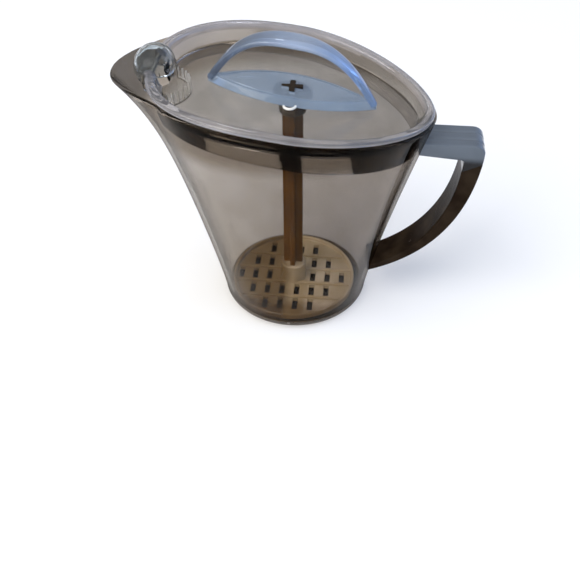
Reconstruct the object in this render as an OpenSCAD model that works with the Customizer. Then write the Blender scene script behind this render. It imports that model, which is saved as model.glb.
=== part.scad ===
// Iced tea maker: an oval clear pitcher with a plunger that runs through its lid.
// +Z is up, the pouring spout points to -X, the jug handle to +X, and the middle
// plane is y = 0. The origin is on the table, under the axis of the plunger's rod.

/* [Jug] */
// Outer radius of the round foot of the jug, above its heel
base_radius = 50.4; // [44:0.2:58]
// Radius of the rounded heel between the flat base and the wall
heel_radius = 7; // [4:0.5:9]
// Distance of the foot's centre from the rod's axis, towards the handle
base_shift = 1.5; // [0:0.5:3]
// Height of the rim above the table, on the rod's axis
jug_height = 163.2; // [145:0.2:185]
// Rise of the rim towards the spout, per millimetre of length
rim_slope = 0.144; // [0.10:0.002:0.18]
// Crown of the rim along its length, per millimetre
rim_arch = 0.0007; // [0.0005:0.0001:0.001]
// Length of the rim from the rod's axis to the nose of the oval
rim_front = 88.6; // [86:0.2:100]
// Length of the rim from the rod's axis to the handle side
rim_back = 89.2; // [84:0.2:96]
// Half of the rim's width
rim_half_width = 71; // [66:0.5:80]
// Place of the widest section, ahead of the rod's axis on the handle side
widest_x = 1; // [0:1:8]
// Thickness of the jug's wall
jug_wall = 2.6; // [2:0.1:3.2]
// Thickness of the jug's floor
floor_thickness = 3; // [2.5:0.1:3.5]

/* [Spout] */
// How far the lip of the spout stands out past the oval
spout_reach = 23; // [18:0.5:26]
// Half of the spout's width where it leaves the oval
spout_half_width = 48; // [42:1:54]
// How far the lip dips below the line of the rim
spout_dip = 2.6; // [1.4:0.2:5]

/* [Jug handle] */
// Width of the handle across the hand
handle_width = 24; // [18:1:28]
// Thickness of the handle's bar at its top
handle_bar = 12.5; // [10:0.5:14]
// Thickness of the handle's bar where it meets the foot
handle_foot_bar = 3.8; // [3:0.2:6]
// Thickness of the arm between the jug and the bar
handle_arm = 9; // [7:0.5:11]
// Distance of the handle's outer corner from the rod's axis
handle_reach = 120.8; // [114:0.2:128]
// Drop of the handle's top face below the rim where it joins
handle_drop = 14; // [11:0.5:16]
// Height of the lowest point of the handle's foot
handle_foot_z = 25; // [20:1:30]
// Width of the two grooves along the handle
groove_width = 1.4; // [1:0.1:2]
// Depth of the two grooves along the handle
groove_depth = 0.9; // [0.5:0.1:1.2]

/* [Lid] */
// Depth of the lid's flat plate below the rim
plate_depth = 8; // [7:0.5:9]
// Thickness of the lid's plate
plate_thickness = 2.2; // [1.8:0.1:2.6]
// Width of the band round the top of the lid
band_width = 6.6; // [6:0.2:7.4]
// Height of the band above the rim
band_height = 3; // [2.4:0.2:3.6]
// Step between the outer edge of the jug's rim and the band
band_step = 1.2; // [0.8:0.1:1.6]
// Depth of the lid's skirt below the rim
skirt_depth = 18; // [16:0.5:21]
// Thickness of the lid's skirt
skirt_thickness = 2; // [1.6:0.1:2.4]
// Gap between the skirt and the inside of the jug
skirt_gap = 0.6; // [0.5:0.1:0.9]
// Gap between the band and the jug's rim
seat_gap = 0.25; // [0.2:0.05:0.35]

/* [Pour shutter] */
// Distance of the shutter's pivot from the rod's axis
pivot_x = 84; // [82:1:86]
// Largest radius of the shutter, in its middle
shutter_radius = 12.8; // [12:0.2:13.4]
// Half of the shutter's length across the spout
shutter_half_length = 14; // [12:0.5:15]
// Thickness of the shutter's shell
shutter_wall = 1.6; // [1.3:0.1:2]
// Running clearance round the shutter
shutter_gap = 0.6; // [0.5:0.1:0.8]
// Radius of the pivot pin
pin_radius = 1.5; // [1.2:0.1:1.8]
// Running fit of the pin in the lid's ears
pin_fit = 0.06; // [0.04:0.01:0.1]
// Thickness of each ear that holds the pin
ear_thickness = 4; // [3:0.5:5]

/* [Strainer] */
// Outer radius of the strainer comb round the shutter
strainer_radius = 21; // [19:0.5:23]
// Thickness of the strainer comb
strainer_wall = 1.6; // [1.3:0.1:2]
// Height of the strainer comb below the plate
strainer_height = 8.5; // [7:0.5:9.5]
// Number of slots in the strainer comb
slot_count = 11; // [7:2:13]
// Width of each slot
slot_width = 2.8; // [2.2:0.1:3]
// Height of each slot, from the plate down
slot_height = 6.8; // [4:0.2:7]

/* [Plunger] */
// Width of each pair of arms of the cross-shaped rod
rod_width = 13.2; // [11:0.2:14]
// Thickness of the rod's arms
rod_arm = 3.4; // [3:0.1:4]
// Gap between the rod and its guide
rod_gap = 0.4; // [0.3:0.05:0.6]
// Gap between the press disc and the wall of the jug's foot
disc_side_gap = 3.6; // [2.8:0.1:5]
// Thickness of the press disc's web
disc_thickness = 2.6; // [2:0.2:3.4]
// Height of the rim round the press disc
disc_rim_height = 5; // [4:0.5:6]
// Gap between the press disc and the jug's floor when it is down
disc_floor_gap = 0.6; // [0.4:0.05:1]
// Distance between the columns of slots in the disc
column_pitch = 10.5; // [9:0.5:12]
// Distance between the rows of slots in the disc
row_pitch = 15; // [13:0.5:17]
// Width of each slot in the disc
disc_slot_width = 3.8; // [3:0.2:4.6]
// Length of each slot in the disc
disc_slot_length = 11; // [9:0.5:11.5]
// Radius of the hub that holds the rod
hub_radius = 9; // [8.6:0.1:10]
// Height of the hub above the web
hub_height = 15; // [12:1:18]

/* [Guide collar] */
// Largest radius of the collar, under the plate
collar_radius = 12.5; // [11:0.5:14]
// Radius of the collar at its lower end
collar_end_radius = 9; // [8.6:0.2:10]
// Height of the collar below the plate, on the rod's axis
collar_height = 11; // [9:0.5:13]

/* [Grip] */
// Half of the grip's length
grip_half_length = 52; // [46:1:56]
// Half of the width of the grip's base
grip_half_width = 18; // [15:0.5:20]
// Half of the width of the grip's floor
grip_floor_half_width = 13; // [11:0.5:14]
// Height of the grip's base
grip_base_height = 5.2; // [4.4:0.2:6]
// Height of the arch above the grip's base
arch_height = 35; // [30:1:40]
// Thickness of the arch
arch_thickness = 4.6; // [4:0.2:5.4]
// Width of the arch in its middle
arch_width = 17; // [14:0.5:20]
// Width of the arch where it meets the base
arch_end_width = 9; // [8:0.5:11]
// Gap between the grip's base and the lid's plate
grip_gap = 0.3; // [0.25:0.05:0.4]

/* [Hidden] */
$fn = 96;
steps = 96;
front_roundness = 2.48;
back_roundness = 1.76;
flare_mean = 1.02;
flare_change = 0.16;
spout_flare = 6;
spout_narrowing = 1.53;
edge_round = 0.8;
band_in = band_step + band_width;
skirt_out = jug_wall + skirt_gap;
skirt_in = skirt_out + skirt_thickness;
pivot_z = rim_z(-pivot_x);
shutter_end_radius = 6.2;
shutter_hub = 3.4;
shutter_lap = 10;
shutter_front = 55;
shutter_turn = 60;
ear_radius = 4.4;
ear_in = shutter_half_length + shutter_gap;
ear_out = ear_in + ear_thickness;
window_half = 12;
strainer_half_angle = 68;
seat = 0.1;
disc_radius = base_radius - jug_wall - disc_side_gap;
disc_z = floor_thickness + disc_floor_gap;
disc_rim_wall = 2.2;
disc_chamfer = 1.2;
rib_width = 2.4;
rib_height = 1.2;
grip_steps = 32;
floor_end = 0.96;
arch_end = 0.93;

function rim_z(x) = jug_height - rim_slope * x - rim_arch * x * x;
function side(v) = v < 0 ? -1 : 1;
function power(v, n) = side(v) * pow(abs(v), n);

// The oval of the rim at angle a, without the spout
function oval(a) =
    let (n = cos(a) < 0 ? front_roundness : back_roundness,
         reach = cos(a) < 0 ? rim_front + widest_x : rim_back - widest_x)
    [widest_x + reach * power(cos(a), 2 / n), rim_half_width * power(sin(a), 2 / n)];

// How much of the spout's reach a point of the oval has, from 0 to 1
function spout_share(p) =
    p[0] < 0 && abs(p[1]) < spout_half_width
        ? pow(1 - pow(p[1] / spout_half_width, 2), spout_narrowing) : 0;

function top_z(a, spout) = rim_z(oval(a)[0]) - (spout ? spout_dip * spout_share(oval(a)) : 0);

// The jug's outer outline at angle a, where s is 0 above the heel and 1 at the rim
function wall_at(a, s, spout) =
    let (top = oval(a), w = pow(s, flare_mean + flare_change * cos(2 * a)),
         out = spout ? spout_reach * spout_share(top) * pow(s, spout_flare) : 0)
    [(base_shift + base_radius * cos(a)) * (1 - w) + top[0] * w - out,
     base_radius * sin(a) * (1 - w) + top[1] * w];

function inset(p, d) = p * (1 - d / norm(p));

// A point d below the rim, set in from the jug's outer face
function below_rim(a, d, in) =
    let (top = top_z(a, false), s = min(1, 1 - d / (top - heel_radius)), p = inset(wall_at(a, s, false), in))
    [p[0], p[1], top - d];

function ring_angles() = [for (i = [0:steps - 1]) i * 360 / steps];

// The jug's inner face on the handle side, at height z
function back_x(z) =
    let (s = (z - heel_radius) / (top_z(0, false) - heel_radius))
    wall_at(0, s, false)[0];

function rings_to_points(rings) = [for (r = rings) each r];
function side_faces(count, n, closed) =
    [for (j = [0:(closed ? count - 1 : count - 2)]) for (i = [0:n - 1])
        let (k = (i + 1) % n, j2 = (j + 1) % count)
        each [[j * n + i, j2 * n + i, j2 * n + k], [j * n + i, j2 * n + k, j * n + k]]];

// A skin through rings of equal count, closed at both ends by flat faces
module skin(rings) {
    n = len(rings[0]);
    last = (len(rings) - 1) * n;
    polyhedron(rings_to_points(rings), concat([[for (i = [0:n - 1]) i]],
        side_faces(len(rings), n, false), [[for (i = [n - 1:-1:0]) last + i]]), convexity = 10);
}

// A skin through rings whose last ring joins the first, as a tube does
module hoop(rings) {
    polyhedron(rings_to_points(rings), side_faces(len(rings), len(rings[0]), true), convexity = 10);
}

// A rounded foot: the heel's outline at angle h, set in by d
function heel_ring(h, d, lift) =
    let (r = base_radius - heel_radius + (heel_radius - d) * sin(h))
    [for (a = ring_angles())
        [base_shift + r * cos(a), r * sin(a), heel_radius - (heel_radius - d) * cos(h) + lift]];

function wall_ring(s, d) =
    [for (a = ring_angles())
        let (p = inset(wall_at(a, s, true), d))
        [p[0], p[1], heel_radius + s * (top_z(a, true) - edge_round - heel_radius)]];

function rim_ring(d) =
    [for (a = ring_angles()) let (p = inset(wall_at(a, 1, true), d)) [p[0], p[1], top_z(a, true)]];

wall_steps = [0.12, 0.25, 0.4, 0.52, 0.64, 0.74, 0.82, 0.88, 0.93, 0.97, 1];

module jug_body() {
    inner_lift = floor_thickness - jug_wall;
    color([0.62, 0.60, 0.58, 0.45])
        skin(concat(
            [for (h = [0:22.5:90]) heel_ring(h, 0, 0)],
            [for (s = wall_steps) wall_ring(s, 0)],
            [rim_ring(edge_round), rim_ring(jug_wall - edge_round)],
            [for (k = [len(wall_steps) - 1:-1:0]) wall_ring(wall_steps[k], jug_wall)],
            [for (h = [90:-22.5:0]) heel_ring(h, jug_wall, inner_lift)]));
}

handle_top = rim_z(rim_back) - handle_drop;
handle_corner = 7;
handle_bend = [handle_reach - 4.6, 51.6];
root_bite = 0.8 * jug_wall;

function bezier(a, b, c, t) = a * pow(1 - t, 2) + b * 2 * t * (1 - t) + c * pow(t, 2);
function bezier_normal(a, b, c, t) =
    let (d = (b - a) * (1 - t) + (c - b) * t) [-d[1], d[0]] / norm(d);

// The handle's side view between its outer line, set in by d, and its inner line
module handle_side(d) {
    start = [handle_reach, handle_top - handle_corner];
    foot = [back_x(handle_foot_z), handle_foot_z];
    outer = [for (t = [0:1 / 16:1])
        bezier(start, handle_bend, foot, t) - bezier_normal(start, handle_bend, foot, t) * d];
    inner = [for (t = [1:-1 / 16:0.06])
        bezier(start, handle_bend, foot, t) - bezier_normal(start, handle_bend, foot, t)
            * (handle_bar + (handle_foot_bar - handle_bar) * t)];
    corner = [for (a = [90:-15:15])
        [handle_reach - handle_corner, handle_top - handle_corner]
            + (handle_corner - d) * [cos(a), sin(a)]];
    inside = rim_back - 12;
    difference() {
        polygon(concat([[inside, handle_top - d]], corner, outer,
            [[base_radius - 12, handle_foot_z]], [[base_radius - 12, handle_foot_z + handle_foot_bar]],
            inner, [[inside, handle_top - handle_arm]]));
        polygon(concat([[0, handle_foot_z - 5]],
            [for (z = [handle_foot_z - 5:5:handle_top + 5]) [back_x(z) - root_bite, z]],
            [[0, handle_top + 5]]));
    }
}

module handle_slab(y, w, d) {
    translate([0, y + w / 2, 0]) rotate([90, 0, 0]) linear_extrude(w) handle_side(d);
}

module jug_handle() {
    land = (handle_width - 2 * groove_width) / 3;
    color([0.30, 0.28, 0.28, 0.8]) {
        handle_slab(0, handle_width, groove_depth);
        for (k = [-1:1]) handle_slab(k * (land + groove_width), land, 0);
    }
}

// The ring of the lid: band on top, walls of the recess, and skirt inside the jug
lid_profile = [
    [-seat_gap, band_step], [1 - band_height, band_step], [0.2 - band_height, band_step + 1],
    [-band_height, band_step + 0.4 * band_width], [0.4 - band_height, band_in - 0.8],
    [1.4 - band_height, band_in], [plate_depth, band_in + 0.4],
    [plate_depth + plate_thickness, band_in + 0.4], [plate_depth + plate_thickness + 1.5, skirt_in],
    [skirt_depth, skirt_in], [skirt_depth, skirt_out], [-seat_gap, skirt_out]];

// The plate follows the crown of the rim, with one straight section at each angle
module lid_plate() {
    skin([for (a = [8:4:172])
        let (p = below_rim(a, plate_depth, band_in - 0.6), high = rim_z(p[0]) - plate_depth,
             low = high - plate_thickness)
        [[p[0], -p[1], low], [p[0], -p[1], high], [p[0], p[1], high], [p[0], p[1], low]]]);
}

module cross(width, arm) {
    square([width, arm], center = true);
    square([arm, width], center = true);
}

module along_y(half) {
    rotate([90, 0, 0]) translate([0, 0, -half]) children();
}

module ear(y) {
    ear_drop = pivot_z - (rim_z(-pivot_x) - plate_depth - plate_thickness / 2);
    translate([-pivot_x, y, pivot_z]) {
        along_y(ear_thickness / 2) cylinder(r = ear_radius, h = ear_thickness);
        translate([-ear_radius, -ear_thickness / 2, -ear_drop]) cube([2 * ear_radius, ear_thickness, ear_drop]);
    }
}

// Radius of the shutter's barrel at y
function barrel(y) =
    let (stretch = shutter_half_length / sqrt(1 - pow(shutter_end_radius / shutter_radius, 2)))
    shutter_radius * sqrt(1 - pow(y / stretch, 2));

function barrel_line(r_add, half) = [for (k = [-8:8]) [barrel(k / 8 * shutter_half_length) + r_add, k / 8 * half]];

// The pour window at the nose of the lid, as far back as x and as high as z
module window(x, z) {
    nose = rim_front + spout_reach;
    translate([-nose, -window_half, z - 2 * skirt_depth]) cube([nose + x, 2 * window_half, 2 * skirt_depth]);
}

module lid() {
    rod_room = rod_width + 2 * rod_gap;
    arm_room = rod_arm + 2 * rod_gap;
    color([0.60, 0.60, 0.60, 0.4])
        difference() {
            union() {
                hoop([for (q = lid_profile) [for (a = ring_angles()) below_rim(a, q[0], q[1])]]);
                lid_plate();
                for (k = [-1, 1]) ear(k * (ear_in + ear_thickness / 2));
            }
            translate([0, 0, jug_height - 2 * skirt_depth]) linear_extrude(3 * skirt_depth) cross(rod_room, arm_room);
            translate([-pivot_x, 0, pivot_z]) {
                rotate([90, 0, 0]) rotate_extrude()
                    polygon(concat([[0, -ear_in]], barrel_line(shutter_gap, ear_in), [[0, ear_in]]));
                along_y(2 * ear_out) cylinder(r = pin_radius, h = 4 * ear_out);
            }
            window(-pivot_x, pivot_z);
            window(strainer_radius / 3 - pivot_x, pivot_z - plate_depth - plate_thickness - seat);
        }
}

module strainer() {
    top = rim_z(strainer_radius - pivot_x) - plate_depth - plate_thickness - seat;
    pitch = 2 * strainer_half_angle / (slot_count + 1);
    color([0.70, 0.70, 0.70, 0.5])
        translate([-pivot_x, 0, top - strainer_height])
            difference() {
                rotate([0, 0, -strainer_half_angle]) rotate_extrude(angle = 2 * strainer_half_angle)
                    translate([strainer_radius - strainer_wall, 0]) square([strainer_wall, strainer_height]);
                for (k = [1:slot_count]) rotate([0, 0, k * pitch - strainer_half_angle])
                    translate([0, -slot_width / 2, strainer_height - slot_height])
                        cube([strainer_radius + 1, slot_width, strainer_height]);
            }
}

module shutter() {
    shell = concat([[shutter_hub - 0.4, -shutter_half_length]], barrel_line(0, shutter_half_length),
        [[shutter_hub - 0.4, shutter_half_length]], [[shutter_hub - 0.4, shutter_half_length - shutter_wall]],
        [for (k = [8:-1:-8]) [barrel(k / 8 * shutter_half_length) - shutter_wall,
            k / 8 * (shutter_half_length - shutter_wall)]],
        [[shutter_hub - 0.4, shutter_wall - shutter_half_length]]);
    color([0.66, 0.68, 0.72, 0.5])
        translate([-pivot_x, 0, pivot_z])
            difference() {
                union() {
                    rotate([90, 0, 0]) rotate([0, 0, -shutter_lap])
                        rotate_extrude(angle = 180 + shutter_lap + shutter_front) polygon(shell);
                    for (k = [-1, 1]) translate([0, k * (shutter_half_length - shutter_wall / 2), 0])
                        along_y(shutter_wall / 2 + 0.3) cylinder(r = shutter_hub, h = shutter_wall + 0.6);
                }
                along_y(ear_out) cylinder(r = pin_radius + pin_fit, h = 2 * ear_out);
            }
}

module shutter_pin() {
    color([0.75, 0.75, 0.76])
        translate([-pivot_x, 0, pivot_z]) along_y(ear_out) cylinder(r = pin_radius, h = 2 * ear_out);
}

module guide_collar() {
    top = jug_height - plate_depth - plate_thickness;
    color([0.55, 0.52, 0.48, 0.6])
        difference() {
            translate([0, 0, top - collar_height]) {
                cylinder(r1 = collar_end_radius, r2 = collar_radius, h = collar_height);
                translate([0, 0, collar_height]) cylinder(r = collar_radius, h = 4);
            }
            translate([0, 0, top - 1.5 * seat]) rotate([0, atan(rim_slope), 0])
                translate([-2 * collar_radius, -2 * collar_radius, 0]) cube([4 * collar_radius, 4 * collar_radius, 20]);
            translate([0, 0, top - 2 * collar_height]) linear_extrude(3 * collar_height)
                cross(rod_width + 2 * rod_gap, rod_arm + 2 * rod_gap);
        }
}

grip_bottom = grip_gap - plate_depth;
function lens(x, length, width) =
    let (r = (pow(length, 2) + pow(width, 2)) / (2 * width))
    abs(x) < length ? sqrt(pow(r, 2) - pow(x, 2)) - r + width : 0;

module grip_base() {
    tip = 0.4;
    skin([for (k = [-grip_steps / 2:grip_steps / 2])
        let (x = grip_half_length * sin(180 * k / grip_steps), low = rim_z(x) + grip_bottom,
             wide = max(tip, lens(x, grip_half_length, grip_half_width)),
             floor_wide = max(tip / 2, lens(x, floor_end * grip_half_length, grip_floor_half_width)))
        [[x, wide, low], [x, wide, low + 0.25 * grip_base_height], [x, floor_wide, low + grip_base_height],
         [x, -floor_wide, low + grip_base_height], [x, -wide, low + 0.25 * grip_base_height], [x, -wide, low]]]);
}

function arch_at(t) =
    let (x = arch_end * grip_half_length * t)
    [x, rim_z(x) + grip_bottom + 0.5 * grip_base_height
        + (arch_height + 0.5 * grip_base_height - arch_thickness / 2) * (1 - pow(t, 2))];

module arch() {
    skin([for (k = [-grip_steps / 2:grip_steps / 2])
        let (t = 2 * k / grip_steps, p = arch_at(t), d = arch_at(t + 0.01) - arch_at(t - 0.01),
             n = [-d[1], d[0]] / norm(d) * arch_thickness / 2,
             w = (arch_end_width + (arch_width - arch_end_width) * (1 - pow(t, 2))) / 2)
        [for (q = [[0.72, -1], [1, -0.45], [1, 0.35], [0.62, 1], [-0.62, 1], [-1, 0.35], [-1, -0.45], [-0.72, -1]])
            [p[0] + n[0] * q[1], w * q[0], p[1] + n[1] * q[1]]]]);
}

module grip() {
    lug = 4.4;
    color([0.62, 0.72, 0.86, 0.7])
        difference() {
            union() {
                grip_base();
                arch();
                translate([0, -grip_half_width, jug_height + grip_bottom + 0.15 * lug]) cylinder(r = lug, h = 1.6);
            }
            translate([0, -grip_half_width - 0.6 * lug, jug_height + grip_bottom - 1]) cylinder(r = lug / 3, h = 5);
            translate([0, 0, jug_height - 2 * plate_depth]) linear_extrude(3 * plate_depth)
                cross(rod_width + seat, rod_arm + seat);
        }
}

module press_rod() {
    bottom = disc_z + disc_thickness;
    top = jug_height + grip_bottom + grip_base_height - 1.6;
    color([0.45, 0.36, 0.24])
        translate([0, 0, bottom]) linear_extrude(top - bottom) cross(rod_width, rod_arm);
}

module disc_slots() {
    columns = floor(disc_radius / column_pitch);
    rows = floor(disc_radius / row_pitch);
    for (i = [-columns:columns]) for (j = [-rows:rows])
        let (x = (i + 0.35) * column_pitch, y = j * row_pitch,
             far = norm([abs(x) + disc_slot_width / 2, abs(y) + disc_slot_length / 2]),
             near = norm([max(0, abs(x) - disc_slot_width / 2), max(0, abs(y) - disc_slot_length / 2)]))
        if (far < disc_radius - disc_rim_wall - 0.5 && near > hub_radius + 0.5)
            translate([x, y, 0]) square([disc_slot_width, disc_slot_length], center = true);
}

module press_disc() {
    rows = floor(disc_radius / row_pitch);
    color([0.50, 0.42, 0.30, 0.9])
        translate([0, 0, disc_z])
            difference() {
                union() {
                    difference() {
                        cylinder(r1 = disc_radius - disc_chamfer, r2 = disc_radius, h = disc_chamfer);
                        translate([0, 0, disc_chamfer]) cylinder(r = disc_radius, h = disc_rim_height - disc_chamfer);
                        translate([0, 0, disc_thickness]) cylinder(r = disc_radius - disc_rim_wall, h = disc_rim_height);
                    }
                    for (j = [-rows:rows - 1]) let (y = (j + 0.5) * row_pitch,
                        half = sqrt(pow(disc_radius - 1, 2) - pow(abs(y) + rib_width, 2)))
                        translate([-half, y - rib_width / 2, 0]) cube([2 * half, rib_width, disc_thickness + rib_height]);
                    cylinder(r = hub_radius, h = disc_thickness + hub_height);
                }
                translate([0, 0, disc_thickness]) linear_extrude(2 * hub_height) cross(rod_width + seat, rod_arm + seat);
                translate([0, 0, -1]) linear_extrude(2 * disc_thickness) disc_slots();
            }
}

jug_body();
jug_handle();
lid();
strainer();
shutter();
shutter_pin();
guide_collar();
grip();
press_rod();
press_disc();
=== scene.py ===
"""Iced tea maker: a clear oval pitcher with a lift-off lid, a pour shutter and a plunger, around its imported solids."""

import math

import bmesh
import bpy
from mathutils import Matrix, Vector


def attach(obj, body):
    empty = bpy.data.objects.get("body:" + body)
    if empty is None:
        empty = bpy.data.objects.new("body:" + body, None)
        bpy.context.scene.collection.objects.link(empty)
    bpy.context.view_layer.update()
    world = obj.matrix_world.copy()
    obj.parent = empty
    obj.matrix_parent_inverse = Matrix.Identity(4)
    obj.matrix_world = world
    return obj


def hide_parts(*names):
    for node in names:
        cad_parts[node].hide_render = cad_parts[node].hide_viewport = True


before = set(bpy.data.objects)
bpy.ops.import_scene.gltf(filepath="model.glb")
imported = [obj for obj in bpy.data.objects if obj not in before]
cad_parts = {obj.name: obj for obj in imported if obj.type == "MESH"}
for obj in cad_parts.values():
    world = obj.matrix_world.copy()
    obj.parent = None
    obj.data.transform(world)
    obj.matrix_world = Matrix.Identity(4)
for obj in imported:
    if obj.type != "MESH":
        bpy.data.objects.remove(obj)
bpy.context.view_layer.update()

# The jug: one thin shell of smoky clear SAN, injection moulded and polished. It flares from a round foot
# with a rolled heel to a long oval rim, which slopes down to the handle and runs out into the spout.
MM = 0.001
RIM_SIDE, RIM_FRONT, RIM_BACK, RIM_WIDEST = 71, 88.6, 89.2, 1
FOOT_RADIUS, FOOT_SHIFT, HEEL_RADIUS, JUG_WALL, JUG_FLOOR = 50.4, 1.5, 7, 2.6, 3
SPOUT_REACH, SPOUT_HALF, SPOUT_DIP = 23, 48, 2.6
LIP = JUG_WALL / 2
AROUND = 288


def rim_height(x):
    """Height of the sloping, slightly crowned rim over x, in millimetres."""
    return 163.2 - 0.144 * x - 0.0007 * x * x


def signed_power(value, power):
    return math.copysign(abs(value) ** power, value)


def oval(turn):
    """The rim's plan, rounder at the spout than at the handle."""
    across, along = math.sin(turn), math.cos(turn)
    roundness, reach = (2.48, RIM_FRONT + RIM_WIDEST) if along < 0 else (1.76, RIM_BACK - RIM_WIDEST)
    return RIM_WIDEST + reach * signed_power(along, 2 / roundness), RIM_SIDE * signed_power(across, 2 / roundness)


def spout_share(x, y):
    return (1 - (y / SPOUT_HALF) ** 2) ** 1.53 if x < 0 and abs(y) < SPOUT_HALF else 0


def wall_point(turn, share, spout):
    """The jug's outline at share of its height above the heel."""
    x, y = oval(turn)
    flare = share ** (1.02 + 0.16 * math.cos(2 * turn))
    out = SPOUT_REACH * spout_share(x, y) * share**6 if spout else 0
    return (
        (FOOT_SHIFT + FOOT_RADIUS * math.cos(turn)) * (1 - flare) + x * flare - out,
        FOOT_RADIUS * math.sin(turn) * (1 - flare) + y * flare,
    )


def set_in(point, depth):
    keep = 1 - depth / math.hypot(*point)
    return point[0] * keep, point[1] * keep


def jug_top(turn):
    x, y = oval(turn)
    return rim_height(x) - SPOUT_DIP * spout_share(x, y)


def heel_row(lean, depth, lift=0):
    radius = FOOT_RADIUS - HEEL_RADIUS + (HEEL_RADIUS - depth) * math.sin(lean)
    height = HEEL_RADIUS - (HEEL_RADIUS - depth) * math.cos(lean) + lift
    return lambda turn: (FOOT_SHIFT + radius * math.cos(turn), radius * math.sin(turn), height)


def wall_row(share, depth):
    def place(turn):
        x, y = set_in(wall_point(turn, share, True), depth)
        return x, y, HEEL_RADIUS + share * (jug_top(turn) - LIP - HEEL_RADIUS)

    return place


def lip_row(roll):
    def place(turn):
        x, y = set_in(wall_point(turn, 1, True), LIP - LIP * math.cos(roll))
        return x, y, jug_top(turn) - LIP + LIP * math.sin(roll)

    return place


def wrapped(rows, around=AROUND):
    """A grid rolled into a closed skin: each row is a ring of the shape, and a row of one point closes to a pole."""
    skin = bmesh.new()
    bmesh.ops.create_grid(skin, x_segments=around, y_segments=len(rows) - 1, size=0.5)
    for corner in skin.verts:
        row = rows[round((corner.co.y + 0.5) * (len(rows) - 1))]
        corner.co = Vector(row((corner.co.x + 0.5) * math.tau)) * MM
    bmesh.ops.remove_doubles(skin, verts=skin.verts, dist=2e-6)
    bmesh.ops.recalc_face_normals(skin, faces=skin.faces)
    return skin


def steps(first, last, count):
    return [first + (last - first) * k / count for k in range(count + 1)]


def linear(sheet):
    """An sRGB hex colour as Blender's linear red, green, blue and alpha."""
    parts = [int(sheet[k : k + 2], 16) / 255 for k in (1, 3, 5)]
    return [p / 12.92 if p <= 0.04045 else ((p + 0.055) / 1.055) ** 2.4 for p in parts] + [1]


def add(material, kind, inputs, **settings):
    """Adds one node: inputs take sockets to link or plain values, settings are the node's own."""
    node = material.node_tree.nodes.new(f"ShaderNode{kind}")
    for key, value in settings.items():
        setattr(node, key, value)
    for key, value in inputs.items():
        if isinstance(value, bpy.types.NodeSocket):
            material.node_tree.links.new(value, node.inputs[key])
        else:
            node.inputs[key].default_value = value
    return node


def clear_moulding(name, light, dark, gloss=(0.02, 0.09), ior=1.5, wave=9, sink=0.05, clear=1, lamp=0.9,
                   shine="#a8a6a3", drift_size=30, fades=(), edge=None, mirror=0.5):
    """Clear moulded plastic: a tint that drifts between two hex colours over drift_size mm, faint sink waves wave
    mm across, and a polish that dulls in patches. Each fade (axis, start, end, colour) multiplies the tint by a
    colour along an axis, in mm, with a wandering edge: the fades paint shade, light and reflection, and in places
    a real stain. edge is the tint of the light that comes through a wall looked along, with so much more plastic
    in the way. shine tints the reflections; set below white it dims them in place of a darker room. mirror is the
    strength of the polish. Lamps shine through thin plastic."""
    material = bpy.data.materials.new(name)
    material.use_nodes = True
    tree = material.node_tree
    tree.nodes.clear()
    place = add(material, "TexCoord", {}).outputs["Object"]
    drift = add(material, "TexNoise", {"Vector": place, "Scale": 1 / (drift_size * MM), "Detail": 2})
    tint = add(material, "ValToRGB", {"Fac": drift.outputs["Fac"]})
    tint.color_ramp.elements[0].position, tint.color_ramp.elements[1].position = 0.35, 0.65
    tint.color_ramp.elements[0].color, tint.color_ramp.elements[1].color = linear(light), linear(dark)
    colour = tint.outputs["Color"]
    swirl = add(material, "TexNoise", {"Vector": place, "Scale": 1 / (22 * MM), "Detail": 3})
    wander = add(material, "VectorMath", {0: swirl.outputs["Color"], 1: (14 * MM, 14 * MM, 2 * MM), 2: place},
                 operation="MULTIPLY_ADD")
    for axis, start, end, tone in fades:
        start, end = (start + 1, end + 1) if axis == "Z" else (start + 7, end + 7)
        along = add(material, "SeparateXYZ", {"Vector": wander.outputs["Vector"]}).outputs[axis]
        amount = add(material, "MapRange", {"Value": along, "From Min": start * MM, "From Max": end * MM},
                     interpolation_type="SMOOTHSTEP")
        colour = add(material, "MixRGB", {"Fac": amount.outputs["Result"], "Color1": colour, "Color2": linear(tone)},
                     blend_type="MULTIPLY").outputs["Color"]
    haze = add(material, "TexNoise", {"Vector": place, "Scale": 1 / (14 * MM), "Detail": 4, "Roughness": 0.6})
    polish = add(material, "MapRange", {"Value": haze.outputs["Fac"], "From Min": 0.4, "From Max": 0.75,
                                        "To Min": gloss[0], "To Max": gloss[1]})
    ripple = add(material, "TexNoise", {"Vector": place, "Scale": 1 / (wave * MM), "Detail": 1})
    relief = add(material, "Bump", {"Height": ripple.outputs["Fac"], "Strength": 0.6, "Distance": sink * MM})
    plastic = add(material, "BsdfPrincipled", {
        "Base Color": colour, "Roughness": polish.outputs["Result"], "IOR": ior, "Transmission Weight": clear,
        "Specular Tint": linear(shine), "Specular IOR Level": mirror, "Normal": relief.outputs["Normal"]})
    surface = plastic.outputs["BSDF"]
    if edge:
        facing = add(material, "LayerWeight", {"Blend": 0.5}).outputs["Facing"]
        along = add(material, "MapRange", {"Value": facing, "From Min": 0.6, "From Max": 0.95, "To Max": 0.9})
        deep = add(material, "BsdfTransparent", {"Color": linear(edge)})
        surface = add(material, "MixShader", {0: along.outputs["Result"], 1: surface,
                                              2: deep.outputs["BSDF"]}).outputs["Shader"]
    way = add(material, "LightPath", {})
    through = add(material, "BsdfTransparent", {"Color": [lamp, lamp, lamp, 1]})
    mixed = add(material, "MixShader", {0: way.outputs["Is Shadow Ray"], 1: surface,
                                        2: through.outputs["BSDF"]})
    add(material, "OutputMaterial", {"Surface": mixed.outputs["Shader"]})
    return material


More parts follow.
